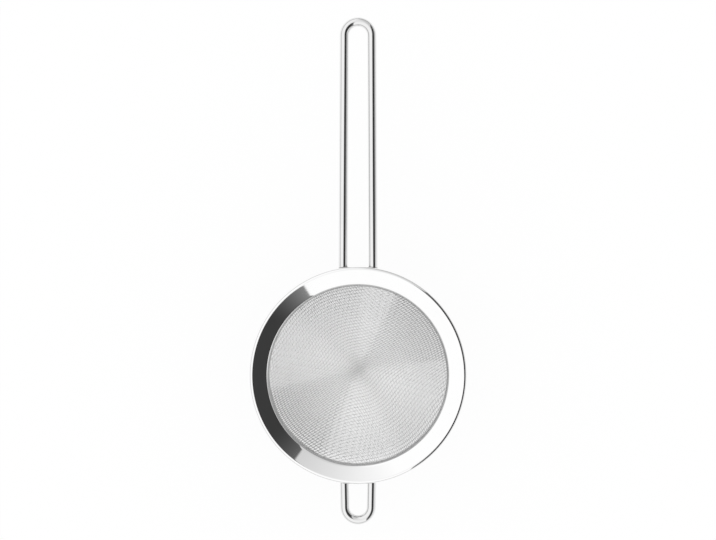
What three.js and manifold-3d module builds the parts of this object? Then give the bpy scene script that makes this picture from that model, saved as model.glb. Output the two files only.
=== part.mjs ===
// Mesh strainer: a conical basket of woven wire cloth in a polished sheet rim,
// with a long wire loop for a handle and a short wire loop to rest on a pot.
// Millimetres, +Z up. The origin is on the axis of the bowl, in the plane of the
// undersides of the wires, where the strainer lies across a pot. The handle runs along +Y.

import * as THREE from 'three';
import { mergeVertices } from 'three/addons/utils/BufferGeometryUtils.js';
import Module from 'manifold-3d';

const wasm = await Module();
wasm.setup();

// Rim
const rimRadius = 60; // axis to the outside of the rolled edge
const bandWidth = 9.4; // outside of the rolled edge to the start of the lip, seen from above
const bandSlope = 16; // degrees that the polished band falls towards the bowl
const sheetThickness = 0.6;
const edgeRadius = 1.6; // outside of the rolled edge
const edgeRoll = 270; // degrees that the edge is rolled over, outwards and under
const lipRadius = 2; // roll from the band down into the collar
const collarHeight = 3.8; // straight collar below that roll

// Basket and the ring that clamps its hem against the collar
const clothThickness = 0.9; // two crossing wires of the woven cloth
const clothBend = 8; // inside bend of the cloth below the collar
const coneSlope = 42; // degrees that the basket wall falls towards the tip
const tipRadius = 9; // inside of the rounded tip
const openingsAcross = 12; // square openings in a row across the basket, coarser than the weave
const openingShare = 0.7; // width of an opening, of the distance from one to the next
const weaveAngle = 31; // degrees from +X to the wires of the cloth
const hemMargin = 1.8; // plain wall left inside the hem, seen from above
const clampThickness = 0.8;

// Wire loops
const wireDiameter = 5;
const handleLength = 138.1; // rim edge to the end of the handle
const handleSpacing = 16.6; // between the centres of the legs where they end under the rim
const handleBend = 7.65; // centre line of the end bend
const restLength = 22.9;
const restSpacing = 15.4;
const restBend = 7.3;

// Welds
const rimWeldWidth = 4.4; // across the wire, under the rolled edge
const rimWeldLength = 4; // along the wire
const rimWeldHeight = 2.8;
const endWeldThroat = 0.8; // how far the end weld stands out round the wire
const endWeldLength = 1.5; // along the wire, from the clamp ring

// Fits
const seatGap = 0.3; // between pieces that touch
const weldGap = 0.15; // between a weld and what it joins

// Smoothness
const ringSegments = 72;
const wireSides = 16;
const arcStep = 15; // degrees
const weldSegments = 16;

const degrees = Math.PI / 180;
const slope = bandSlope * degrees;
const wireRadius = wireDiameter / 2;

// The rolled edge lies on the wires, and the band runs down from it at its top.
const edgeCentre = new THREE.Vector2(rimRadius - edgeRadius, wireDiameter + seatGap + edgeRadius);

function bandHeight(r) {
  return edgeCentre.y + edgeRadius / Math.cos(slope) + (r - edgeCentre.x) * Math.tan(slope);
}

const lipStart = rimRadius - bandWidth;
const lipCentre = new THREE.Vector2(
  lipStart + lipRadius * Math.sin(slope),
  bandHeight(lipStart) - lipRadius * Math.cos(slope),
);
const collarInside = lipCentre.x - lipRadius;
const collarOutside = collarInside + sheetThickness;
const collarBottom = lipCentre.y - collarHeight;

// The hem of the cloth stands between the collar and the clamp ring.
const hemInside = collarOutside + seatGap;
const hemOutside = hemInside + clothThickness;
const hemTop = lipCentre.y;
const clampInside = hemOutside + seatGap;
const clampOutside = clampInside + clampThickness;

// Points of an arc in the plane of a profile, from one angle to another in degrees.
function arc(centre, radius, from, to) {
  const steps = Math.max(2, Math.ceil(Math.abs(to - from) / arcStep));
  const points = [];
  for (let i = 0; i <= steps; i += 1) {
    const angle = (from + ((to - from) * i) / steps) * degrees;
    points.push(new THREE.Vector2(
      centre.x + radius * Math.cos(angle),
      centre.y + radius * Math.sin(angle),
    ));
  }
  return points;
}

// A solid of revolution about Z from an outline in (radius, height).
function revolve(outline) {
  const geometry = new THREE.LatheGeometry(outline, ringSegments);
  geometry.rotateX(Math.PI / 2);
  return geometry;
}

function toSolid(geometry) {
  const bare = geometry.clone();
  bare.deleteAttribute('normal');
  bare.deleteAttribute('uv');
  const merged = mergeVertices(bare, 1e-4);
  const vertProperties = new Float32Array(merged.attributes.position.array);
  const triVerts = new Uint32Array(merged.index.array);
  return new wasm.Manifold(new wasm.Mesh({ numProp: 3, vertProperties, triVerts }));
}

function toGeometry(solid) {
  const { vertProperties, triVerts } = solid.getMesh();
  const geometry = new THREE.BufferGeometry();
  geometry.setAttribute('position', new THREE.BufferAttribute(vertProperties, 3));
  geometry.setIndex(new THREE.BufferAttribute(triVerts, 1));
  geometry.computeVertexNormals();
  return geometry;
}

// Underside of the sheet: the inside of the lip's roll, then the straight band.
function sheetUnderside(r) {
  const insideRadius = lipRadius - sheetThickness;
  if (r > lipCentre.x - insideRadius * Math.sin(slope)) {
    return bandHeight(r) - sheetThickness / Math.cos(slope);
  }
  return lipCentre.y + Math.sqrt(insideRadius ** 2 - (r - lipCentre.x) ** 2);
}

// Rim: rolled edge, sloping band, lip and collar in one sheet.
function rimFlange() {
  const across = 90 + bandSlope;
  const outline = [
    ...arc(lipCentre, lipRadius, across, 180),
    new THREE.Vector2(collarInside, collarBottom),
    new THREE.Vector2(collarOutside, collarBottom),
    ...arc(lipCentre, lipRadius - sheetThickness, 180, across),
    ...arc(edgeCentre, edgeRadius - sheetThickness, across, across - edgeRoll),
    ...arc(edgeCentre, edgeRadius, across - edgeRoll, across),
  ];
  outline.push(outline[0]);
  return revolve(outline);
}

// The space that the rolled edge takes up, filled, for cutting a weld clear of it.
function filledEdge(grow) {
  const tubeSegments = Math.ceil(360 / arcStep);
  const ring = new THREE.TorusGeometry(edgeCentre.x, edgeRadius + grow, tubeSegments, ringSegments);
  ring.translate(0, 0, edgeCentre.y);
  return ring;
}

// Ring that holds the hem of the cloth against the collar.
function clampRing() {
  const top = sheetUnderside(clampInside) - seatGap;
  const outline = [
    new THREE.Vector2(clampInside, top),
    new THREE.Vector2(clampInside, collarBottom),
    new THREE.Vector2(clampOutside, collarBottom),
    new THREE.Vector2(clampOutside, top),
  ];
  outline.push(outline[0]);
  return revolve(outline);
}

// A coarse grid of square openings, cut straight down through a wall, out to a radius. The
// outermost ones end there, and those of which less than about half would be left aren't cut.
function cutOpenings(wall, reach) {
  const pitch = (2 * reach) / openingsAcross;
  const side = pitch * openingShare;
  const depth = 4 * reach;
  const cylinder = new THREE.CylinderGeometry(reach, reach, depth, ringSegments);
  cylinder.rotateX(Math.PI / 2);
  const within = toSolid(cylinder);
  let solid = toSolid(wall);
  for (let i = 0; i < openingsAcross; i += 1) {
    for (let j = 0; j < openingsAcross; j += 1) {
      const x = (i + 0.5) * pitch - reach;
      const y = (j + 0.5) * pitch - reach;
      if (Math.hypot(x, y) < reach) {
        const opening = new THREE.BoxGeometry(side, side, depth);
        opening.translate(x, y, 0);
        opening.rotateZ(weaveAngle * degrees);
        solid = solid.subtract(toSolid(opening).intersect(within));
      }
    }
  }
  return toGeometry(solid);
}

// Basket: the woven cloth as one thin wall, hem, cone and rounded tip. The wires themselves are
// far finer, so the wall has a coarse grid of openings that leaves about as much of it open.
function meshBasket() {
  const outward = coneSlope - 90;
  const wallNormal = new THREE.Vector2(Math.cos(outward * degrees), Math.sin(outward * degrees));
  const bendCentre = new THREE.Vector2(hemInside - clothBend, collarBottom);
  const tipDrop = (bendCentre.x * wallNormal.x + clothBend - tipRadius) / wallNormal.y;
  const tipCentre = new THREE.Vector2(0, bendCentre.y + tipDrop);
  const inside = [
    ...arc(tipCentre, tipRadius, -90, outward),
    ...arc(bendCentre, clothBend, outward, 0),
    new THREE.Vector2(hemInside, hemTop),
  ];
  const outside = [
    new THREE.Vector2(hemOutside, hemTop),
    ...arc(bendCentre, clothBend + clothThickness, 0, outward),
    ...arc(tipCentre, tipRadius + clothThickness, outward, -90),
  ];
  // Both ends of the outline lie on the axis itself.
  inside[0].x = 0;
  outside[outside.length - 1].x = 0;
  const wall = revolve([...outside.reverse(), ...inside.reverse()]);
  return cutOpenings(wall, hemInside - hemMargin);
}

// A path with a station only where the wire starts, passes the rim's edge, bends or ends.
class WirePath extends THREE.Curve {
  constructor(points, tangents) {
    super();
    this.points = points;
    this.tangents = tangents;
  }

  getUtoTmapping(u) {
    return u;
  }

  getPoint(t, target = new THREE.Vector3()) {
    return target.copy(this.points[Math.round(t * (this.points.length - 1))]);
  }

  getTangent(t, target = new THREE.Vector3()) {
    return target.copy(this.tangents[Math.round(t * (this.tangents.length - 1))]);
  }
}

// The legs of a loop end square, just clear of the clamp ring.
function legEnd(spacing) {
  return Math.sqrt((clampOutside + seatGap) ** 2 - (spacing / 2 - wireRadius) ** 2);
}

// Where the right leg touches the end bend, as an angle at the centre of the bend.
function loopBend(length, spacing, bend) {
  const centreY = rimRadius + length - wireRadius - bend;
  const run = centreY - legEnd(spacing);
  const reach = Math.hypot(spacing / 2, run);
  const angle = Math.acos(bend / reach) - Math.atan2(run, spacing / 2);
  return { centreY, angle };
}

// Half the distance between the leg centres, at a distance along the loop.
function halfSpacing(length, spacing, bend, y) {
  const { angle } = loopBend(length, spacing, bend);
  return spacing / 2 - (y - legEnd(spacing)) * Math.tan(angle);
}

// One bent wire: a straight leg, a round end bend and the leg back.
function wireLoop(length, spacing, bend, grow = 0) {
  const { centreY, angle } = loopBend(length, spacing, bend);
  const leg = new THREE.Vector3(-Math.sin(angle), Math.cos(angle), 0);
  const back = new THREE.Vector3(leg.x, -leg.y, 0);
  const root = new THREE.Vector3(spacing / 2, legEnd(spacing), wireRadius);
  const toEdge = (rimRadius - root.y) / leg.y;
  const points = [-grow, toEdge].map((run) => root.clone().addScaledVector(leg, run));
  const returning = points.map((point) => point.clone().setX(-point.x)).reverse();
  const tangents = [leg, leg];
  const steps = Math.ceil(180 / arcStep);
  for (let i = 0; i <= steps; i += 1) {
    const turn = angle + ((Math.PI - 2 * angle) * i) / steps;
    points.push(new THREE.Vector3(bend * Math.cos(turn), centreY + bend * Math.sin(turn), wireRadius));
    tangents.push(new THREE.Vector3(-Math.sin(turn), Math.cos(turn), 0));
  }
  points.push(...returning);
  tangents.push(back, back);

  // A flat of the section faces straight down, so that the legs lie flat.
  const section = new THREE.Shape();
  const corner = (wireRadius + grow) / Math.cos(Math.PI / wireSides);
  const corners = [];
  for (let i = 0; i < wireSides; i += 1) {
    const turn = ((i + 0.5) * 2 * Math.PI) / wireSides;
    corners.push(new THREE.Vector2(corner * Math.cos(turn), corner * Math.sin(turn)));
  }
  section.setFromPoints(corners);
  return new THREE.ExtrudeGeometry(section, {
    steps: points.length - 1,
    extrudePath: new WirePath(points, tangents),
    bevelEnabled: false,
  });
}

// A round bead of weld metal, cut clear of what it joins.
function weldBead(centre, halfSize, joined) {
  const bead = new THREE.SphereGeometry(1, weldSegments, weldSegments / 2);
  bead.rotateX(Math.PI / 2);
  bead.scale(halfSize.x, halfSize.y, halfSize.z);
  bead.translate(centre.x, centre.y, centre.z);
  let solid = toSolid(bead);
  for (const piece of joined) {
    solid = solid.subtract(piece);
  }
  return toGeometry(solid);
}

// Everything inside the outer wall of the clamp ring.
function clampDisc(grow) {
  const height = 4 * (wireDiameter + collarHeight);
  const disc = new THREE.CylinderGeometry(clampOutside + grow, clampOutside + grow, height, ringSegments);
  disc.rotateX(Math.PI / 2);
  return disc;
}

// Under the rolled edge, a saddle of weld on top of the wire.
function rimWeld(x, spot, joined) {
  const centre = new THREE.Vector3(x, spot, wireDiameter + seatGap / 2);
  const halfSize = new THREE.Vector3(rimWeldWidth / 2, rimWeldLength / 2, rimWeldHeight / 2);
  return weldBead(centre, halfSize, joined);
}

// Round the end of the wire, a fillet of weld against the clamp ring, up to the sheet above.
function endWeld(x, joined) {
  const top = sheetUnderside(clampOutside) - weldGap;
  const centreZ = (top - endWeldThroat) / 2;
  const centre = new THREE.Vector3(x, Math.sqrt(clampOutside ** 2 - x ** 2), centreZ);
  const halfSize = new THREE.Vector3(wireRadius + endWeldThroat, endWeldLength, top - centreZ);
  return weldBead(centre, halfSize, joined);
}

function steel(color, roughness) {
  return new THREE.MeshStandardMaterial({ color, metalness: 1, roughness });
}

function piece(name, geometry, material) {
  const mesh = new THREE.Mesh(geometry, material);
  mesh.name = name;
  return mesh;
}

const polished = 0xdfe1e3;
const drawnWire = 0xd8dadc;
const wireCloth = 0xc6c8ca;
const weldMetal = 0xb4b2ae;

// A loop and its four welds, built along +Y. sides names the welds at +X and -X.
function loopWithWelds(name, length, spacing, bend, sides) {
  const group = new THREE.Group();
  group.add(piece(`${name}_loop`, wireLoop(length, spacing, bend), steel(drawnWire, 0.1)));
  const joined = [
    toSolid(wireLoop(length, spacing, bend, weldGap)),
    toSolid(filledEdge(weldGap)),
    toSolid(clampDisc(weldGap)),
  ];
  const crossing = halfSpacing(length, spacing, bend, edgeCentre.x);
  const crossingY = Math.sqrt(edgeCentre.x ** 2 - crossing ** 2);
  sides.forEach((side, i) => {
    const sign = i === 0 ? 1 : -1;
    const overEdge = rimWeld(sign * crossing, crossingY, joined);
    const atEnd = endWeld((sign * spacing) / 2, joined);
    group.add(piece(`${name}_rim_weld_${side}`, overEdge, steel(weldMetal, 0.35)));
    group.add(piece(`${name}_end_weld_${side}`, atEnd, steel(weldMetal, 0.35)));
  });
  return group;
}

const strainer = new THREE.Group();
strainer.add(piece('rim_flange', rimFlange(), steel(polished, 0.06)));
strainer.add(piece('clamp_ring', clampRing(), steel(polished, 0.2)));
strainer.add(piece('mesh_basket', meshBasket(), steel(wireCloth, 0.25)));
strainer.add(loopWithWelds('handle', handleLength, handleSpacing, handleBend, ['right', 'left']));

// The rest loop stands opposite the handle, so its sides change over.
const rest = loopWithWelds('rest', restLength, restSpacing, restBend, ['left', 'right']);
rest.rotation.z = Math.PI;
strainer.add(rest);

export default strainer;
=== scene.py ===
"""The look of a mesh strainer: a polished rim, bright wire loops and a basket of real woven wires.

Shapes are worked out in millimetres, in the frame of the part, and become metres in new_piece().
"""
import math

import bpy
import numpy as np
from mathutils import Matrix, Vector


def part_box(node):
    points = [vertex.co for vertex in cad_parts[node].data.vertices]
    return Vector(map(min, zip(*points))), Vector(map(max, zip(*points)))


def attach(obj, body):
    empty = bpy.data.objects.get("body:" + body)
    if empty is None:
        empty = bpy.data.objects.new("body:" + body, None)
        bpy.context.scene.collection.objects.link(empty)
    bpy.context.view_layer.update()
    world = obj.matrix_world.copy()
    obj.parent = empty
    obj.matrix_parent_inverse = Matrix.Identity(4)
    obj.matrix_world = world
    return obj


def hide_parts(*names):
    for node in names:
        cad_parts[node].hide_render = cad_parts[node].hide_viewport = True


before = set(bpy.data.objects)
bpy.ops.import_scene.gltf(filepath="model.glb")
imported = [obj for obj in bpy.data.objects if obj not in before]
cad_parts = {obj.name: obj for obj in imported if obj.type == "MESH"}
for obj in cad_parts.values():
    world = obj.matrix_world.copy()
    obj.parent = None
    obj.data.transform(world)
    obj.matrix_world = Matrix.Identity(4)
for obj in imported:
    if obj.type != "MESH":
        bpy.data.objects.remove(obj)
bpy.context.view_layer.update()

MM = 0.001


def node_box(node):
    """Lowest and highest corner of a node, in millimetres."""
    low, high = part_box(node)
    return np.array(low) / MM, np.array(high) / MM


# Sizes that the frame gives
RIM_LOW, RIM_HIGH = node_box("rim_flange")
CLAMP_LOW, CLAMP_HIGH = node_box("clamp_ring")
CLOTH_LOW, CLOTH_HIGH = node_box("mesh_basket")
HANDLE_LOW, HANDLE_HIGH = node_box("handle_loop")
REST_LOW, REST_HIGH = node_box("rest_loop")
RIM_RADIUS = RIM_HIGH[0]
WIRE_RADIUS = (HANDLE_HIGH[2] - HANDLE_LOW[2]) / 2
WIRE_HEIGHT = (HANDLE_HIGH[2] + HANDLE_LOW[2]) / 2
COLLAR_BOTTOM = RIM_LOW[2]

# Rim, whose lip rolls a little more gently than the solid's
BAND_WIDTH = 8.8
BAND_SLOPE = math.radians(16)
SHEET = 0.6
SHEET_CORNER = 0.15
EDGE_RADIUS = 1.6
EDGE_ROLL = math.radians(270)
LIP_RADIUS = 2.83
RIM_SEGMENTS = 288
SHEET_CORNER_STEPS = 4
LIP_STEPS = 28
LIP_UNDERSIDE_STEPS = 16
EDGE_STEPS = 72
EDGE_END_STEPS = 8
EDGE_INSIDE_STEPS = 48

# Clamp ring
CLAMP_THICKNESS = 0.8
CLAMP_CORNER = 0.2
CLAMP_CORNER_STEPS = 5

# Woven cloth
CLOTH = 0.9
CLOTH_BEND = 8.0
CONE_SLOPE = math.radians(42)
TIP_RADIUS = 9.0
TIP_STEPS = 40
CLOTH_BEND_STEPS = 40
CONE_SHARES = np.linspace(0.01, 0.99, 60)
HEM_SHARES = np.linspace(0.05, 1, 20)
CLOTH_WIRE = 0.45
WARP_PITCH = 1.5
WEFT_PITCH = 1.5
WEAVE_ANGLE = math.radians(31)
SPREAD_MEAN = 1.39
SPREAD_SWING = 0.52
SPREAD_CENTRE = 4.0
SPREAD_ROUNDS = 60
SAMPLES_PER_CROSSING = 3
CLOTH_WIRE_SIDES = 6

# Wire loops
HANDLE_SPACING = 16.6
HANDLE_BEND = 7.65
REST_SPACING = 15.4
REST_BEND = 7.3
WIRE_SIDES = 40
BEND_STEPS = 48
WIRE_END_CORNER = 0.4
WIRE_END_RINGS = 6

# Welds
WELD_SEGMENTS = 36
WELD_END = 0.02
WELD_RIPPLE = 0.035
WELD_WAVES = (9, 4)

# Photograph: how large it is, and where the rim lies in it, in pixels
PHOTO_WIDTH = 716
PHOTO_HEIGHT = 540
PHOTO_RIM_RADIUS = 108.8
PHOTO_RIM_CENTRE = (358.1, 375.35)
CAMERA_DISTANCE = 870.0
SENSOR_WIDTH = 36.0
FAR_CLIP = 20.0


# Meshes

# Places on the texture map: the wall and the ends of a tube, and those of a weld bead
TUBE_WALL_START = 0.03
TUBE_WALL_LENGTH = 0.94
TUBE_WALL_WIDTH = 0.9
TUBE_END = 0.015
TUBE_END_SIZE = (0.012, 0.4)
BEAD_WALL = (0.05, 0.95)
BEAD_END = (0.02, 0.5)
BEAD_END_SIZE = (0.015, 0.4)
SHARP_ANGLE = math.radians(70)


def net(along, around, first=0, closed=False):
    """Faces of a net of rings, and the place of each face corner on a texture map.

    along and around are places on the map. Each ring closes, so around ends where it starts. A
    closed net's last ring is its first one again."""
    rings = len(along) - 1 if closed else len(along)
    sides = len(around) - 1
    i, j = np.meshgrid(np.arange(len(along) - 1), np.arange(sides), indexing="ij")
    corners = ((0, 0), (0, 1), (1, 1), (1, 0))
    faces = [first + (i + a) % rings * sides + (j + b) % sides for a, b in corners]
    places = [np.stack([along[i + a], around[j + b]], -1) for a, b in corners]
    return np.stack(faces, -1).reshape(-1, 4).tolist(), np.stack(places, -2).reshape(-1, 2).tolist()


def new_piece(name, shape, replaced, material):
    """A smooth mesh object that rides on the part. A shape is points, faces and map places."""
    points, faces, places = shape
    mesh = bpy.data.meshes.new(name)
    mesh.from_pydata((points * MM).tolist(), [], faces)
    layer = mesh.uv_layers.new(name="OFBake")
    layer.data.foreach_set("uv", np.array(places).ravel())
    mesh.update()
    mesh.polygons.foreach_set("use_smooth", [True] * len(mesh.polygons))
    mesh.set_sharp_from_angle(angle=SHARP_ANGLE)
    mesh.materials.append(material)
    obj = bpy.data.objects.new(name, mesh)
    bpy.context.scene.collection.objects.link(obj)
    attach(obj, "root")
    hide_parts(*replaced)


def arc(centre, radius, start, end, steps):
    """Points of an arc in a profile, from one angle to another."""
    angles = np.linspace(start, end, steps + 1)
    return [(centre[0] + radius * math.cos(a), centre[1] + radius * math.sin(a)) for a in angles]


def between(start, end, shares):
    """Points on a straight stretch of a profile, at shares of its length."""
    start, end = np.array(start), np.array(end)
    return [tuple(start + (end - start) * share) for share in shares]


def distances(path):
    """How far along a path each of its points is, as a share of the whole."""
    steps = np.linalg.norm(np.diff(path, axis=0), axis=1)
    along = np.concatenate([[0.0], np.cumsum(steps)])
    return along / along[-1]


def lathe(outline):
    """A closed outline in (radius, height), clockwise, turned about Z."""
    outline = np.array(outline)
    turns = np.linspace(0, 2 * math.pi, RIM_SEGMENTS, endpoint=False)[:, None]
    points = np.stack(
        [outline[:, 0] * np.cos(turns), outline[:, 0] * np.sin(turns), outline[:, 1] + 0 * turns], -1
    )
    around = distances(np.vstack([outline, outline[:1]]))
    faces, places = net(np.linspace(0, 1, RIM_SEGMENTS + 1), around, closed=True)
    return points.reshape(-1, 3), faces, places


def sweep(path, up, radius, sides, first=0, strip=(0.0, 1.0)):
    """A round tube along a path, with flat ends. It takes up one strip of the texture map."""
    along = np.gradient(path, axis=0)
    along /= np.linalg.norm(along, axis=1)[:, None]
    across = np.cross(along, up)
    across /= np.linalg.norm(across, axis=1)[:, None]
    up = np.cross(across, along)
    turns = np.linspace(0, 2 * math.pi, sides, endpoint=False)[:, None]
    ring = up[:, None, :] * np.cos(turns) + across[:, None, :] * np.sin(turns)
    points = path[:, None, :] + ring * np.broadcast_to(radius, len(path))[:, None, None]
    low, high = strip
    around = np.linspace(low, low + (high - low) * TUBE_WALL_WIDTH, sides + 1)
    faces, places = net(TUBE_WALL_START + TUBE_WALL_LENGTH * distances(path), around, first)
    length, width = TUBE_END_SIZE
    cap = np.hstack([length * np.cos(turns), width * (high - low) * np.sin(turns)])
    last = first + (len(path) - 1) * sides
    faces.append([first + j for j in reversed(range(sides))])
    places += (cap[::-1] + (TUBE_END, (low + high) / 2)).tolist()
    faces.append([last + j for j in range(sides)])
    places += (cap + (1 - TUBE_END, (low + high) / 2)).tolist()
    return points.reshape(-1, 3), faces, places


# Rim and clamp ring

EDGE_CENTRE = (RIM_RADIUS - EDGE_RADIUS, RIM_HIGH[2] - EDGE_RADIUS)
LIP_START = RIM_RADIUS - BAND_WIDTH


def band_height(r):
    """Height of the top of the band at a distance from the axis."""
    rise = (r - EDGE_CENTRE[0]) * math.tan(BAND_SLOPE)
    return EDGE_CENTRE[1] + EDGE_RADIUS / math.cos(BAND_SLOPE) + rise


LIP_CENTRE = (
    LIP_START + LIP_RADIUS * math.sin(BAND_SLOPE),
    band_height(LIP_START) - LIP_RADIUS * math.cos(BAND_SLOPE),
)
COLLAR_INSIDE = LIP_CENTRE[0] - LIP_RADIUS
COLLAR_OUTSIDE = COLLAR_INSIDE + SHEET
NEAR_ENDS = (0.01, 0.25, 0.5, 0.75, 0.99)


def rim_outline():
    """One sheet: collar, lip, sloping band and rolled edge, and back along its underside."""
    normal = math.pi / 2 + BAND_SLOPE
    inside = (COLLAR_INSIDE + SHEET_CORNER, COLLAR_BOTTOM + SHEET_CORNER)
    outside = (COLLAR_OUTSIDE - SHEET_CORNER, COLLAR_BOTTOM + SHEET_CORNER)
    end = normal - EDGE_ROLL
    middle = EDGE_RADIUS - SHEET / 2
    end_centre = (EDGE_CENTRE[0] + middle * math.cos(end), EDGE_CENTRE[1] + middle * math.sin(end))
    stretches = [
        arc(outside, SHEET_CORNER, 2 * math.pi, 1.5 * math.pi, SHEET_CORNER_STEPS),
        arc(inside, SHEET_CORNER, 1.5 * math.pi, math.pi, SHEET_CORNER_STEPS),
        arc(LIP_CENTRE, LIP_RADIUS, math.pi, normal, LIP_STEPS),
        arc(EDGE_CENTRE, EDGE_RADIUS, normal, end, EDGE_STEPS),
        arc(end_centre, SHEET / 2, end, end - math.pi, EDGE_END_STEPS)[1:-1],
        arc(EDGE_CENTRE, EDGE_RADIUS - SHEET, end, normal, EDGE_INSIDE_STEPS),
        arc(LIP_CENTRE, LIP_RADIUS - SHEET, normal, math.pi, LIP_UNDERSIDE_STEPS),
    ]
    outline = []
    for stretch, following in zip(stretches, stretches[1:] + stretches[:1]):
        outline += stretch
        if math.dist(stretch[-1], following[0]) > SHEET:
            outline += between(stretch[-1], following[0], NEAR_ENDS)
    return outline


def clamp_outline():
    """A flat ring of sheet on edge, with its corners broken."""
    low = (CLAMP_HIGH[0] - CLAMP_THICKNESS + CLAMP_CORNER, CLAMP_LOW[2] + CLAMP_CORNER)
    high = (CLAMP_HIGH[0] - CLAMP_CORNER, CLAMP_HIGH[2] - CLAMP_CORNER)
    corners = (((high[0], high[1]), 0.5), ((high[0], low[1]), 0.0), (low, -0.5), ((low[0], high[1]), -1.0))
    outline = []
    for centre, turn in corners:
        outline += arc(centre, CLAMP_CORNER, turn * math.pi, (turn - 0.5) * math.pi, CLAMP_CORNER_STEPS)
    return outline


# Woven cloth

HEM_MIDDLE = CLOTH_HIGH[0] - CLOTH / 2
HEM_TOP = CLOTH_HIGH[2]
TIP_CENTRE = (0.0, CLOTH_LOW[2] + CLOTH + TIP_RADIUS)


def cloth_profile():
    """The middle of the cloth: plan distance, radius, height, and the two parts of its normal.

    The plan distance is the radius itself up to the end of the cone. From there it runs on up the
    bend and the hem, at the rate at which it runs up the cone."""
    outward = CONE_SLOPE - math.pi / 2
    bend_centre = (HEM_MIDDLE - CLOTH / 2 - CLOTH_BEND, COLLAR_BOTTOM)
    tip = arc(TIP_CENTRE, TIP_RADIUS + CLOTH / 2, -math.pi / 2, outward, TIP_STEPS)
    bend = arc(bend_centre, CLOTH_BEND + CLOTH / 2, outward, 0, CLOTH_BEND_STEPS)
    cone = between(tip[-1], bend[0], CONE_SHARES)
    hem = between(bend[-1], (HEM_MIDDLE, HEM_TOP), HEM_SHARES)
    line = np.array(tip + cone + bend + hem)
    line[0, 0] = 0.0
    step = np.diff(line, axis=0)
    length = np.linalg.norm(step, axis=1)
    on_cone = np.arange(len(step)) < len(tip) + len(cone)
    plan = np.where(on_cone, step[:, 0], length * math.cos(CONE_SLOPE))
    distance = np.concatenate([[0.0], np.cumsum(plan)])
    along = np.gradient(line, axis=0)
    along /= np.linalg.norm(along, axis=1)[:, None]
    return distance, line[:, 0], line[:, 1], -along[:, 1], along[:, 0]


PROFILE = cloth_profile()
CLOTH_REACH = PROFILE[0][-1]


def on_cloth(x, y, lift):
    """Points and normals of the part's frame for plan points, lifted off the middle of the cloth."""
    distance, *columns = PROFILE
    plan = np.hypot(x, y)
    turn = np.arctan2(y, x)
    r, z, normal_r, normal_z = (np.interp(plan, distance, column) for column in columns)
    normal = np.stack([normal_r * np.cos(turn), normal_r * np.sin(turn), normal_z], -1)
    normal /= np.linalg.norm(normal, axis=-1)[:, None]
    middle = np.stack([r * np.cos(turn), r * np.sin(turn), z], -1)
    return middle + normal * lift[:, None], normal


def crossing(across_flat, along_flat):
    """Plan points of points on the flat cloth, given across and along a wire.

    Pressing the flat cloth into a cone spreads the wires where they run round the wall and draws
    them together where they run up it."""
    share = np.full(along_flat.shape, 0.5)
    for _ in range(SPREAD_ROUNDS):
        across = across_flat / (SPREAD_MEAN - SPREAD_SWING * share)
        along = along_flat / (SPREAD_MEAN - SPREAD_SWING * (1 - share))
        whole = across ** 2 + along ** 2 + SPREAD_CENTRE ** 2
        share = (across ** 2 + SPREAD_CENTRE ** 2 / 2) / whole
    return across, along


def woven_set(pitch, other_pitch, turned):
    """One set of wires, which go over and under the wires of the other set."""
    most = int(CLOTH_REACH * SPREAD_MEAN / pitch)
    far = int(CLOTH_REACH * SPREAD_MEAN / other_pitch) * SAMPLES_PER_CROSSING
    steps = np.arange(-far, far + 1) / SAMPLES_PER_CROSSING
    swing = (CLOTH - CLOTH_WIRE) / 2
    points, faces, places, count = [], [], [], 0
    for n in range(-most, most + 1):
        across, along = crossing(n * pitch, steps * other_pitch)
        inside = np.hypot(across, along) < CLOTH_REACH
        if np.count_nonzero(inside) < 2 * SAMPLES_PER_CROSSING:
            continue
        lift = swing * (-1) ** n * np.cos(math.pi * steps[inside])
        across, along = across[inside], along[inside]
        if turned:
            across, along, lift = along, across, -lift
        x = along * math.cos(WEAVE_ANGLE) - across * math.sin(WEAVE_ANGLE)
        y = along * math.sin(WEAVE_ANGLE) + across * math.cos(WEAVE_ANGLE)
        path, normal = on_cloth(x, y, lift)
        row = (n + most) / (2 * most + 1)
        strip = (row, row + 1 / (2 * most + 1))
        wire = sweep(path, normal, CLOTH_WIRE / 2, CLOTH_WIRE_SIDES, count, strip)
        points.append(wire[0])
        faces += wire[1]
        places += wire[2]
        count += len(wire[0])
    return np.concatenate(points), faces, places


# Wire loops

def wire_loop(end, root, spacing, bend, turned):
    """A bent wire along +Y: a leg with a rounded end, the end bend and the leg back."""
    centre_y = end - WIRE_RADIUS - bend
    run = centre_y - root
    angle = math.acos(bend / math.hypot(spacing / 2, run)) - math.atan2(run, spacing / 2)
    leg = np.array([-math.sin(angle), math.cos(angle), 0.0])
    start = np.array([spacing / 2, root, WIRE_HEIGHT])
    length = math.hypot(run, spacing / 2 - bend * math.cos(angle))
    rounding = np.linspace(0, math.pi / 2, WIRE_END_RINGS)
    runs = [WIRE_END_CORNER * (1 - math.cos(a)) for a in rounding]
    radius = [WIRE_RADIUS - WIRE_END_CORNER * (1 - math.sin(a)) for a in rounding]
    runs += [length * share for share in NEAR_ENDS[1:]]
    radius += [WIRE_RADIUS] * len(NEAR_ENDS[1:])
    right = np.array([start + leg * far for far in runs])
    left = right[::-1] * (-1, 1, 1)
    turns = np.linspace(angle, math.pi - angle, BEND_STEPS + 1)
    top = np.stack([bend * np.cos(turns), centre_y + bend * np.sin(turns), WIRE_HEIGHT + 0 * turns], -1)
    path = np.concatenate([right, top, left])
    if turned:
        path = path * (-1, -1, 1)
    radius = np.array(radius + [WIRE_RADIUS] * len(top) + radius[::-1])
    up = np.tile([0.0, 0.0, 1.0], (len(path), 1))
    return sweep(path, up, radius, WIRE_SIDES)


# Welds

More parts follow.
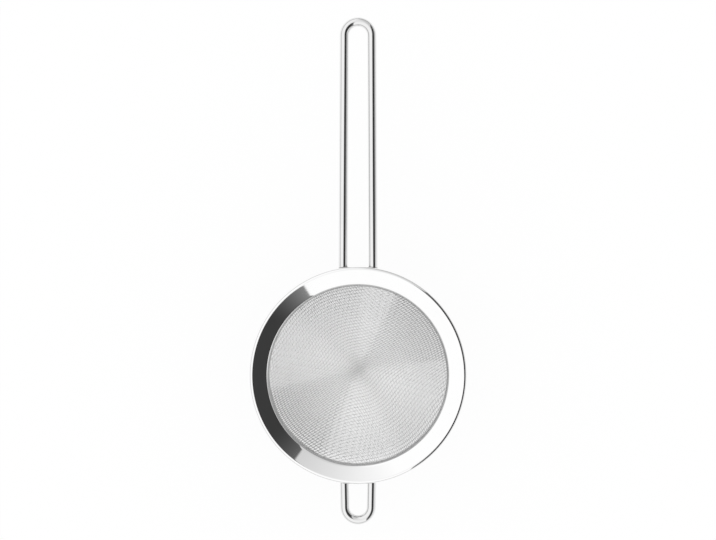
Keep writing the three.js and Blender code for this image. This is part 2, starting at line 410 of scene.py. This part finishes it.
def weld_bead(node, seed):
    """A bead the size of a weld's node, with the ripples that the puddle froze in."""
    low, high = node_box(node)
    tilts = np.linspace(math.pi - WELD_END, WELD_END, WELD_SEGMENTS // 2)[:, None]
    turns = np.linspace(0, 2 * math.pi, WELD_SEGMENTS, endpoint=False)
    x, y = np.sin(tilts) * np.cos(turns), np.sin(tilts) * np.sin(turns)
    ball = np.stack([x, y, np.cos(tilts) + 0 * turns], -1)
    ripple = 1 - WELD_RIPPLE * (1 + np.sin(WELD_WAVES[0] * x + WELD_WAVES[1] * y + seed))
    points = (low + high) / 2 + (high - low) / 2 * ball * ripple[..., None]
    faces, places = net(np.linspace(*BEAD_WALL, len(tilts)), np.linspace(0, 1, WELD_SEGMENTS + 1))
    cap = BEAD_END + np.stack([np.sin(turns), np.cos(turns)], -1) * BEAD_END_SIZE
    last = (len(tilts) - 1) * WELD_SEGMENTS
    faces.append(list(reversed(range(WELD_SEGMENTS))))
    places += cap[::-1].tolist()
    faces.append([last + j for j in range(WELD_SEGMENTS)])
    places += (1 - cap).tolist()
    return points.reshape(-1, 3), faces, places


# Materials

# Where most values of a noise texture lie, and most products of two of them
NOISE_RANGE = (0.3, 0.7)
NOISE_PRODUCT_RANGE = (0.1, 0.45)


def new_material(name):
    """A metal, with its node tree and its shader."""
    material = bpy.data.materials.new(name)
    material.use_nodes = True
    shader = material.node_tree.nodes["Principled BSDF"]
    shader.inputs["Metallic"].default_value = 1.0
    return material, material.node_tree, shader


def add_node(tree, kind, **settings):
    node = tree.nodes.new(kind)
    for key, value in settings.items():
        setattr(node, key, value)
    return node


def math_node(tree, operation, *values):
    node = add_node(tree, "ShaderNodeMath", operation=operation)
    for socket, value in zip(node.inputs, values):
        if isinstance(value, (int, float)):
            socket.default_value = value
        else:
            tree.links.new(value, socket)
    return node.outputs[0]


def map_range(tree, value, low, high, to_low, to_high, smooth=False):
    node = add_node(tree, "ShaderNodeMapRange")
    if smooth:
        node.interpolation_type = "SMOOTHSTEP"
    tree.links.new(value, node.inputs["Value"])
    node.inputs["From Min"].default_value = low
    node.inputs["From Max"].default_value = high
    node.inputs["To Min"].default_value = to_low
    node.inputs["To Max"].default_value = to_high
    return node.outputs["Result"]


def noise(tree, vector, scale, detail=3.0):
    node = add_node(tree, "ShaderNodeTexNoise")
    tree.links.new(vector, node.inputs["Vector"])
    node.inputs["Scale"].default_value = scale
    node.inputs["Detail"].default_value = detail
    return node.outputs["Fac"]


def mix_colour(tree, share, first, second):
    node = add_node(tree, "ShaderNodeMix", data_type="RGBA")
    tree.links.new(share, node.inputs[0])
    for socket, value in zip((node.inputs[6], node.inputs[7]), (first, second)):
        if isinstance(value, tuple):
            socket.default_value = (*value, 1)
        else:
            tree.links.new(value, socket)
    return node.outputs[2]


def mix_greys(tree, share, first, second):
    return mix_colour(tree, share, (first, first, first), (second, second, second))


def mix_value(tree, share, first, second):
    node = add_node(tree, "ShaderNodeMix", data_type="FLOAT")
    tree.links.new(share, node.inputs[0])
    for socket, value in zip((node.inputs[2], node.inputs[3]), (first, second)):
        if isinstance(value, float):
            socket.default_value = value
        else:
            tree.links.new(value, socket)
    return node.outputs[0]


def object_place(tree):
    return add_node(tree, "ShaderNodeTexCoord").outputs["Object"]


def polar(tree, place):
    """Distance from the axis, heading round it and height."""
    split = add_node(tree, "ShaderNodeSeparateXYZ")
    tree.links.new(place, split.inputs[0])
    x, y, z = split.outputs
    squares = math_node(tree, "MULTIPLY_ADD", x, x, math_node(tree, "MULTIPLY", y, y))
    return math_node(tree, "SQRT", squares), math_node(tree, "ARCTAN2", y, x), z


def ring_places(tree, place, along, across):
    """Texture coordinates that are stretched round the axis."""
    radius, heading, z = polar(tree, place)
    join = add_node(tree, "ShaderNodeCombineXYZ")
    tree.links.new(math_node(tree, "MULTIPLY", heading, along), join.inputs[0])
    tree.links.new(math_node(tree, "MULTIPLY", radius, across), join.inputs[1])
    tree.links.new(math_node(tree, "MULTIPLY", z, across), join.inputs[2])
    return join.outputs[0]


def sector(tree, heading, turn, width, strength):
    """A soft sector round a heading, with its half width, both in degrees, and its strength."""
    near = math_node(tree, "COSINE", math_node(tree, "SUBTRACT", heading, math.radians(turn)))
    return map_range(tree, near, math.cos(math.radians(width)), 1.0, 0.0, strength, smooth=True)


def bump(tree, shader, height, strength, depth):
    node = add_node(tree, "ShaderNodeBump")
    tree.links.new(height, node.inputs["Height"])
    node.inputs["Strength"].default_value = strength
    node.inputs["Distance"].default_value = depth
    tree.links.new(node.outputs["Normal"], shader.inputs["Normal"])


# Polished sheet, with the distances from the axis between which the polish begins, and the darker greys of
# the lip's roll inside them, a painted shade beside the cloth
BUFFED_FROM = 49.5
BUFFED_TO = 50.3
BUFFED_GREYS = (0.93, 0.96)
BUFFED_ROUGHNESS = (0.02, 0.05)
LIP_PAINTED_SHADE_GREYS = (0.40, 0.52)
DULL_ROUGHNESS = (0.1, 0.16)
BUFFING_LINES = (1.2, 9000.0)


def polished_sheet():
    """Mirror polish with faint rings from the buffing wheel, which leaves the roll of the lip dull, and
    darker grey there as painted shade beside the cloth.
    """
    material, tree, shader = new_material("polished_sheet")
    place = object_place(tree)
    radius, _, _ = polar(tree, place)
    lines = noise(tree, ring_places(tree, place, *BUFFING_LINES), scale=1.0, detail=2.0)
    clouds = noise(tree, place, scale=60.0)
    buffed = map_range(tree, radius, BUFFED_FROM * MM, BUFFED_TO * MM, 0.0, 1.0, smooth=True)
    bright = mix_greys(tree, clouds, *BUFFED_GREYS)
    # painted shade: the roll of the lip is greyed down where it meets the cloth
    dull = mix_greys(tree, lines, *LIP_PAINTED_SHADE_GREYS)
    tree.links.new(mix_colour(tree, buffed, dull, bright), shader.inputs["Base Color"])
    both = math_node(tree, "MULTIPLY", lines, clouds)
    mirror = map_range(tree, both, *NOISE_PRODUCT_RANGE, *BUFFED_ROUGHNESS)
    satin = map_range(tree, lines, *NOISE_RANGE, *DULL_ROUGHNESS)
    tree.links.new(mix_value(tree, buffed, satin, mirror), shader.inputs["Roughness"])
    bump(tree, shader, lines, strength=0.02, depth=0.00002)
    return material


# Painted shade on the wires where they leave the rim, and on the welds towards the outside of the rim,
# with the distances from the axis at which it ends
RIM_EDGE_SHADE = (0.08, 0.075, 0.07)
RIM_EDGE_SHADE_FROM = 59.0
RIM_EDGE_SHADE_TO = 60.6
RIM_EDGE_SHADE_ON_WIRE = 0.8

# Polished wire
WIRE_GREYS = (0.80, 0.86)
WIRE_ROUGHNESS = (0.03, 0.07)
DRAW_LINES = (6000.0, 30.0, 6000.0)


def polished_wire():
    """Bright drawn wire, with fine draw lines along its legs, and a dark painted shade where it leaves the
    rim.
    """
    material, tree, shader = new_material("polished_wire")
    place = object_place(tree)
    stretch = add_node(tree, "ShaderNodeMapping")
    stretch.inputs["Scale"].default_value = DRAW_LINES
    tree.links.new(place, stretch.inputs["Vector"])
    lines = noise(tree, stretch.outputs[0], scale=1.0, detail=2.0)
    clouds = noise(tree, place, scale=90.0)
    radius, _, _ = polar(tree, place)
    # painted shade under the rim's edge, where the wire leaves it
    rim_edge_shade = map_range(tree, radius, RIM_RADIUS * MM, RIM_EDGE_SHADE_TO * MM, RIM_EDGE_SHADE_ON_WIRE, 0.0, smooth=True)
    bright = mix_greys(tree, clouds, *WIRE_GREYS)
    tree.links.new(mix_colour(tree, rim_edge_shade, bright, RIM_EDGE_SHADE), shader.inputs["Base Color"])
    tree.links.new(map_range(tree, lines, *NOISE_RANGE, *WIRE_ROUGHNESS), shader.inputs["Roughness"])
    bump(tree, shader, lines, strength=0.02, depth=0.00002)
    return material


# Wires of the cloth: their greys, the warp's darker than the weft's as painted shade, and the painted
# light and shade that change these with the height and the heading on its wall
WARP_GREYS = (0.70, 0.78)
WEFT_GREYS = (0.84, 0.9)
BRIGHTEST = 0.97
CLOTH_WIRE_ROUGHNESS = (0.25, 0.37)
CLOTH_PAINTED_LIGHT_BY_HEIGHT = (1.09, 0.93)
HEM_POWER = 8.0
WARP_HEADING = math.radians(37)
WARP_EDGES = (0.5, 0.64)
WARP_PAINTED_SHADE = 0.24
PAINTED_SHEENS = ((75, 16, 0.22), (165, 35, 0.22), (275, 31, 0.32))


def painted_cloth_light(tree, place):
    """Painted light and shade on the pressed cloth: lighter at the tip, with painted shade at the hem and
    most of all where the warp runs up the wall.

    Painted sheen makes it brightest in three sectors beside those, each with its heading, half width and
    strength."""
    radius, heading, _ = polar(tree, place)
    height = map_range(tree, radius, 0.0, COLLAR_INSIDE * MM, 0.0, 1.0)
    near_hem = math_node(tree, "POWER", height, HEM_POWER)
    tone = map_range(tree, near_hem, 0.0, 1.0, *CLOTH_PAINTED_LIGHT_BY_HEIGHT)
    # painted shade where the warp runs up the wall, and painted sheen in the sectors
    warp = math_node(tree, "COSINE", math_node(tree, "MULTIPLY_ADD", heading, 2.0, -2 * WARP_HEADING))
    changes = [map_range(tree, warp, *WARP_EDGES, 0.0, -WARP_PAINTED_SHADE, smooth=True)]
    changes += [sector(tree, heading, *sheen) for sheen in PAINTED_SHEENS]
    for change in changes:
        tone = math_node(tree, "MULTIPLY_ADD", change, height, tone)
    return tone


def cloth_wire(name, greys):
    """Fine drawn wire, in patches a little duller than elsewhere, with painted sheen and shade in its
    grey.
    """
    material, tree, shader = new_material(name)
    place = object_place(tree)
    clouds = noise(tree, place, scale=120.0, detail=2.0)
    grain = noise(tree, place, scale=4000.0, detail=2.0)
    steel_and_painted_light = math_node(tree, "MULTIPLY", map_range(tree, clouds, 0.0, 1.0, *greys), painted_cloth_light(tree, place))
    tree.links.new(math_node(tree, "MINIMUM", steel_and_painted_light, BRIGHTEST), shader.inputs["Base Color"])
    tree.links.new(map_range(tree, grain, *NOISE_RANGE, *CLOTH_WIRE_ROUGHNESS), shader.inputs["Roughness"])
    bump(tree, shader, grain, strength=0.1, depth=0.00002)
    return material


# Plain sheet
SATIN_GREYS = (0.66, 0.76)
SATIN_ROUGHNESS = (0.2, 0.36)
ROLLING_LINES = (2.0, 6000.0)


def satin_sheet():
    """Plain sheet with fine lines round it, as it came from the roll."""
    material, tree, shader = new_material("satin_sheet")
    place = object_place(tree)
    lines = noise(tree, ring_places(tree, place, *ROLLING_LINES), scale=1.0)
    clouds = noise(tree, place, scale=80.0)
    tree.links.new(mix_greys(tree, clouds, *SATIN_GREYS), shader.inputs["Base Color"])
    tree.links.new(map_range(tree, lines, *NOISE_RANGE, *SATIN_ROUGHNESS), shader.inputs["Roughness"])
    bump(tree, shader, lines, strength=0.12, depth=0.00003)
    return material


# Weld metal
WELD_COLOURS = ((0.50, 0.48, 0.46), (0.68, 0.67, 0.65))
WELD_ROUGHNESS = (0.3, 0.5)


def weld_metal():
    """Cleaned weld, dull and finely pitted, with a dark painted shade towards the outside of the rim."""
    material, tree, shader = new_material("weld_metal")
    place = object_place(tree)
    clouds = noise(tree, place, scale=900.0)
    pits = noise(tree, place, scale=5000.0, detail=4.0)
    radius, _, _ = polar(tree, place)
    # painted shade under the rim's edge, towards the outside of the rim
    rim_edge_shade = map_range(tree, radius, RIM_EDGE_SHADE_FROM * MM, RIM_RADIUS * MM, 0.0, 1.0, smooth=True)
    clean = mix_colour(tree, clouds, *WELD_COLOURS)
    tree.links.new(mix_colour(tree, rim_edge_shade, clean, RIM_EDGE_SHADE), shader.inputs["Base Color"])
    tree.links.new(map_range(tree, pits, *NOISE_RANGE, *WELD_ROUGHNESS), shader.inputs["Roughness"])
    bump(tree, shader, pits, strength=0.3, depth=0.00005)
    return material


# Studio, where slopes are how far a direction goes along X or Y for each step up

TENT_LIGHT = 1.05
HORIZON_LIGHT = 0.45
HORIZON_TOP = 0.55
LEAST_HEIGHT = 0.02
CARD_SLOPES = (0.07, 1.73)
CARD_SLOPE_SOFTNESS = 0.04
CARD_HEADINGS = (math.radians(-62.7), math.radians(47.7))
CARD_HEADING_SOFTNESS = math.radians(0.7)
CARD_GLOW_FROM = (math.radians(-38), math.radians(24))
CARD_LIGHT = 0.045
CARD_GLOW = (0.21, 0.085)
LIGHT_BEHIND_CARD = 0.6
SHADE_X = (-0.2, 0.32)
SHADE_Y = (-0.555, 0.352)
SHADE_DEPTH = 0.38


def between_edges(tree, value, edges, soft):
    """1 between two soft edges."""
    after = map_range(tree, value, edges[0] - soft, edges[0] + soft, 0.0, 1.0, smooth=True)
    before = map_range(tree, value, edges[1] - soft, edges[1] + soft, 1.0, 0.0, smooth=True)
    return math_node(tree, "MULTIPLY", after, before)


def glow(tree, value, start, end, light):
    """Light that grows from nothing at one place, ever faster, to its full strength at another."""
    share = map_range(tree, value, start, end, 0.0, 1.0)
    return math_node(tree, "MULTIPLY", math_node(tree, "POWER", share, 2.0), light)


def make_studio():
    """A white tent over the table, greyer low down, with one dark card over the +X side and a bright
    strip of the tent below it.

    Only the metal sees the card. Everything else sees plain white."""
    world = bpy.data.worlds.new("studio")
    world.use_nodes = True
    bpy.context.scene.world = world
    tree = world.node_tree
    split = add_node(tree, "ShaderNodeSeparateXYZ")
    tree.links.new(add_node(tree, "ShaderNodeTexCoord").outputs["Generated"], split.inputs[0])
    x, y, z = split.outputs
    height = math_node(tree, "MAXIMUM", z, LEAST_HEIGHT)
    u = math_node(tree, "DIVIDE", x, height)
    v = math_node(tree, "DIVIDE", y, height)
    heading = math_node(tree, "ARCTAN2", y, x)
    card_side = between_edges(tree, heading, CARD_HEADINGS, CARD_HEADING_SOFTNESS)
    card = math_node(tree, "MULTIPLY", between_edges(tree, u, CARD_SLOPES, CARD_SLOPE_SOFTNESS), card_side)
    card_light = CARD_LIGHT
    for start, end, light in zip(CARD_GLOW_FROM, CARD_HEADINGS, CARD_GLOW):
        card_light = math_node(tree, "ADD", glow(tree, heading, start, end, light), card_light)
    beside = map_range(tree, u, *SHADE_X, 0.0, SHADE_DEPTH)
    below = map_range(tree, v, *SHADE_Y, 0.0, 1.0, smooth=True)
    tent = math_node(tree, "SUBTRACT", TENT_LIGHT, math_node(tree, "MULTIPLY", beside, below))
    low = map_range(tree, z, 0.0, HORIZON_TOP, HORIZON_LIGHT, 1.0, smooth=True)
    low = math_node(tree, "MAXIMUM", low, math_node(tree, "MULTIPLY", card_side, LIGHT_BEHIND_CARD))
    seen = mix_value(tree, card, math_node(tree, "MULTIPLY", tent, low), card_light)
    path = add_node(tree, "ShaderNodeLightPath")
    strength = mix_value(tree, path.outputs["Is Glossy Ray"], 1.0, seen)
    tree.links.new(strength, tree.nodes["Background"].inputs["Strength"])
    tree.nodes["Background"].inputs["Color"].default_value = (1, 1, 1, 1)


# Floor, with painted light and shade under the bowl, where distances from the axis are shares of the
# radius inside the collar, but for TIP_SHADE

FLOOR_SIZE = 3.0
FLOOR_SHADE = 0.12
LIGHT_THROUGH_CLOTH = 0.42
TIP_SHADE = (3.0, 11.0)
TIP_LIGHT = 0.09
HEM_SHADE = (0.3, 0.85)
REST_SIDE = (275, 32, 0.55)
REST_SIDE_REACH = (0.75, 0.95)
PAPER_SHADE = (0.4, 0.95)
PAPER_SHADE_DEPTH = 0.09


def make_floor():
    """White paper under the tip, which keeps the object's shadow, with painted light and shade on it under
    the bowl.

    The painted shade is deep at the tip and under the hem. Painted light makes it lighter between them and
    stands for light through the cloth, most of all on the side of the rest loop. The shadow is faint
    outside the rim, and the paper itself is painted darker under the hem."""
    size, height = FLOOR_SIZE, CLOTH_LOW[2] * MM
    mesh = bpy.data.meshes.new("floor")
    corners = [(-size, -size, height), (size, -size, height), (size, size, height), (-size, size, height)]
    mesh.from_pydata(corners, [], [(0, 1, 2, 3)])
    material = bpy.data.materials.new("white_paper")
    material.use_nodes = True
    tree = material.node_tree
    tree.nodes.remove(tree.nodes["Principled BSDF"])
    paper = add_node(tree, "ShaderNodeBsdfDiffuse")
    white = add_node(tree, "ShaderNodeEmission")
    path = add_node(tree, "ShaderNodeLightPath")
    seen = math_node(tree, "MAXIMUM", path.outputs["Is Camera Ray"], path.outputs["Is Glossy Ray"])
    seen = math_node(tree, "MAXIMUM", seen, path.outputs["Is Transmission Ray"])
    radius, heading, _ = polar(tree, object_place(tree))
    collar, rim = COLLAR_INSIDE * MM, RIM_RADIUS * MM

    def fade(low, high, to_low, to_high):
        return map_range(tree, radius, low, high, to_low, to_high, smooth=True)

    def fade_inside(limits, to_low, to_high):
        return fade(limits[0] * collar, limits[1] * collar, to_low, to_high)

    wall = fade_inside(PAPER_SHADE, 0.0, 1.0)
    shade = math_node(tree, "MULTIPLY", wall, fade(collar, rim, PAPER_SHADE_DEPTH, 0.0))
    # painted shadow: the paper's colour is darker under the hem
    tree.links.new(math_node(tree, "SUBTRACT", 1.0, shade), paper.inputs["Color"])
    # painted light: the white glow under the bowl stands for light through the cloth, strongest on the
    # rest loop's side
    tip = fade(TIP_SHADE[0] * MM, TIP_SHADE[1] * MM, TIP_LIGHT, LIGHT_THROUGH_CLOTH)
    hem = fade_inside(HEM_SHADE, 1.0, 0.0)
    side = sector(tree, heading, *REST_SIDE)
    through = math_node(tree, "MULTIPLY_ADD", side, fade_inside(REST_SIDE_REACH, 1.0, 0.0), hem)
    lit = math_node(tree, "MULTIPLY_ADD", tip, through, fade(collar, rim, 0.0, 1 - FLOOR_SHADE))
    mix = add_node(tree, "ShaderNodeMixShader")
    tree.links.new(math_node(tree, "MULTIPLY", seen, lit), mix.inputs[0])
    tree.links.new(paper.outputs[0], mix.inputs[1])
    tree.links.new(white.outputs[0], mix.inputs[2])
    tree.links.new(mix.outputs[0], tree.nodes["Material Output"].inputs["Surface"])
    mesh.materials.append(material)
    floor = bpy.data.objects.new("floor", mesh)
    bpy.context.scene.collection.objects.link(floor)


def make_camera():
    """Straight above, with the handle up the picture, framed as the photograph is."""
    scale = RIM_RADIUS / PHOTO_RIM_RADIUS
    camera = bpy.data.cameras.new("camera")
    camera.sensor_fit = "HORIZONTAL"
    camera.sensor_width = SENSOR_WIDTH
    camera.lens = SENSOR_WIDTH * CAMERA_DISTANCE / (PHOTO_WIDTH * scale)
    camera.clip_end = FAR_CLIP
    obj = bpy.data.objects.new("camera", camera)
    x = (PHOTO_WIDTH / 2 - PHOTO_RIM_CENTRE[0]) * scale
    y = (PHOTO_RIM_CENTRE[1] - PHOTO_HEIGHT / 2) * scale
    obj.location = (x * MM, y * MM, (EDGE_CENTRE[1] + CAMERA_DISTANCE) * MM)
    bpy.context.scene.collection.objects.link(obj)
    bpy.context.scene.camera = obj


def make_pieces():
    """Every piece of the strainer, on the node or nodes that it shows."""
    new_piece("rim", lathe(rim_outline()), ["rim_flange"], polished_sheet())
    new_piece("clamp_band", lathe(clamp_outline()), ["clamp_ring"], satin_sheet())
    warp = woven_set(WARP_PITCH, WEFT_PITCH, False)
    new_piece("cloth_warp", warp, ["mesh_basket"], cloth_wire("warp_wire", WARP_GREYS))
    weft = woven_set(WEFT_PITCH, WARP_PITCH, True)
    new_piece("cloth_weft", weft, ["mesh_basket"], cloth_wire("weft_wire", WEFT_GREYS))
    wire = polished_wire()
    handle = wire_loop(HANDLE_HIGH[1], HANDLE_LOW[1], HANDLE_SPACING, HANDLE_BEND, False)
    new_piece("handle_wire", handle, ["handle_loop"], wire)
    rest = wire_loop(-REST_LOW[1], -REST_HIGH[1], REST_SPACING, REST_BEND, True)
    new_piece("rest_wire", rest, ["rest_loop"], wire)
    weld = weld_metal()
    seed = 0.0
    for loop in ("handle", "rest"):
        for spot in ("rim", "end"):
            for side in ("left", "right"):
                node = f"{loop}_{spot}_weld_{side}"
                bead = f"{loop}_{spot}_bead_{side}"
                new_piece(bead, weld_bead(node, seed), [node], weld)
                seed += 1.0


make_camera()
make_studio()
make_floor()
make_pieces()
bpy.context.scene.view_settings.view_transform = "Standard"
